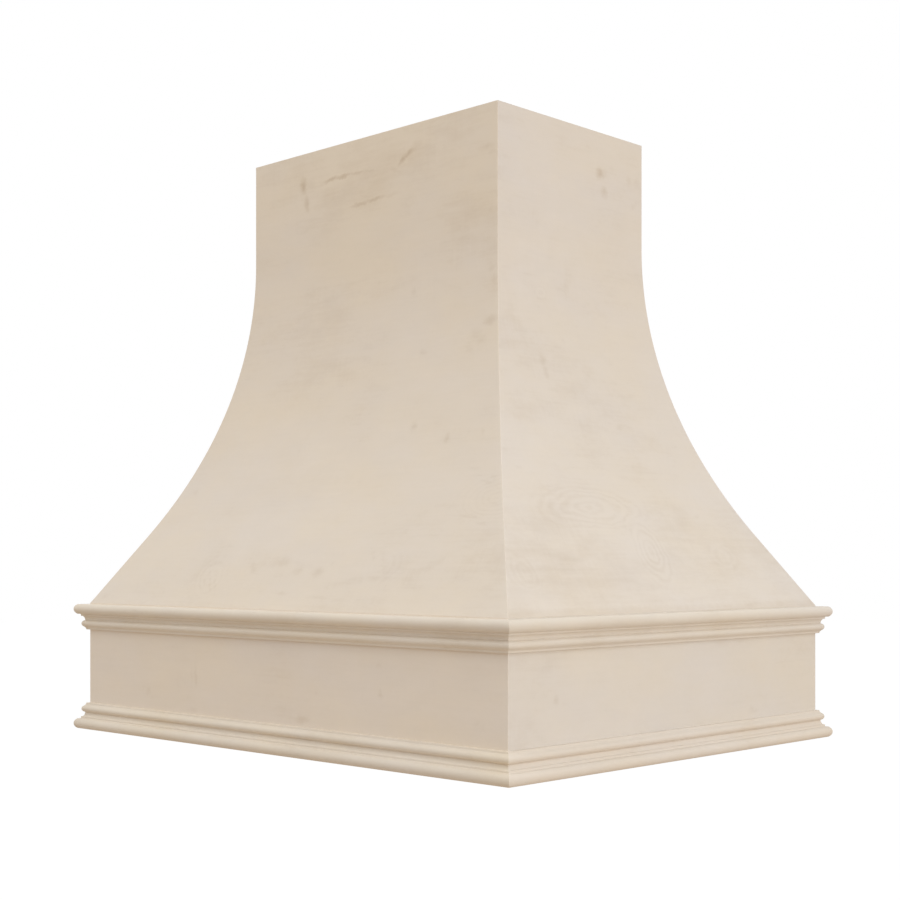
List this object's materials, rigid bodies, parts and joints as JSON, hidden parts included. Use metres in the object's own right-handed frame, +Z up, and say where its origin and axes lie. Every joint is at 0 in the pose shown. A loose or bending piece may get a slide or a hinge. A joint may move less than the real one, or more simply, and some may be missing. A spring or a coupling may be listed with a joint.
{
  "type": "range hood cover",
  "caption": "Ceiling-hung wooden cover for an island range hood: an upright chimney that sweeps out to a moulded apron, over a shelf for the fan insert.",
  "frame": {"origin": "middle of the footprint, on the plane of the bottom edge", "axes": "+Z up towards the ceiling; the long front faces -Y; +X runs to the right along the front"},
  "size_m": [0.9524, 0.7494, 0.9144],
  "materials": {
    "veneered_plywood": "bare sanded maple veneer, grain level",
    "solid_maple": "bare sanded solid maple",
    "birch_plywood": "bare birch plywood with its plies showing at the edges",
    "framing_poplar": "bare planed poplar",
    "zinc_screw": "zinc plated"
  },
  "bodies": {
    "root": {"back_apron_board": "solid_maple", "back_ceiling_rail": "framing_poplar", "back_ledger": "framing_poplar", "back_left_corner_block": "framing_poplar", "back_left_hip_rib": "birch_plywood", "back_lower_moulding": "solid_maple", "back_rib_1": "birch_plywood", "back_rib_2": "birch_plywood", "back_rib_3": "birch_plywood", "back_rib_4": "birch_plywood", "back_rib_5": "birch_plywood", "back_right_corner_block": "framing_poplar", "back_right_hip_rib": "birch_plywood", "back_shelf_cleat": "framing_poplar", "back_skin": "veneered_plywood", "back_upper_moulding": "solid_maple", "corner_splines": "birch_plywood", "front_apron_board": "solid_maple", "front_ceiling_rail": "framing_poplar", "front_ledger": "framing_poplar", "front_left_corner_block": "framing_poplar", "front_left_hip_rib": "birch_plywood", "front_lower_moulding": "solid_maple", "front_rib_1": "birch_plywood", "front_rib_2": "birch_plywood", "front_rib_3": "birch_plywood", "front_rib_4": "birch_plywood", "front_rib_5": "birch_plywood", "front_right_corner_block": "framing_poplar", "front_right_hip_rib": "birch_plywood", "front_shelf_cleat": "framing_poplar", "front_skin": "veneered_plywood", "front_upper_moulding": "solid_maple", "insert_shelf": "birch_plywood", "left_apron_board": "solid_maple", "left_ceiling_rail": "framing_poplar", "left_ledger": "framing_poplar", "left_lower_moulding": "solid_maple", "left_rib_1": "birch_plywood", "left_rib_2": "birch_plywood", "left_rib_3": "birch_plywood", "left_rib_4": "birch_plywood", "left_shelf_cleat": "framing_poplar", "left_skin": "veneered_plywood", "left_upper_moulding": "solid_maple", "right_apron_board": "solid_maple", "right_ceiling_rail": "framing_poplar", "right_ledger": "framing_poplar", "right_lower_moulding": "solid_maple", "right_rib_1": "birch_plywood", "right_rib_2": "birch_plywood", "right_rib_3": "birch_plywood", "right_rib_4": "birch_plywood", "right_shelf_cleat": "framing_poplar", "right_skin": "veneered_plywood", "right_upper_moulding": "solid_maple", "shelf_screws": "zinc_screw"}
  },
  "joints": []
}
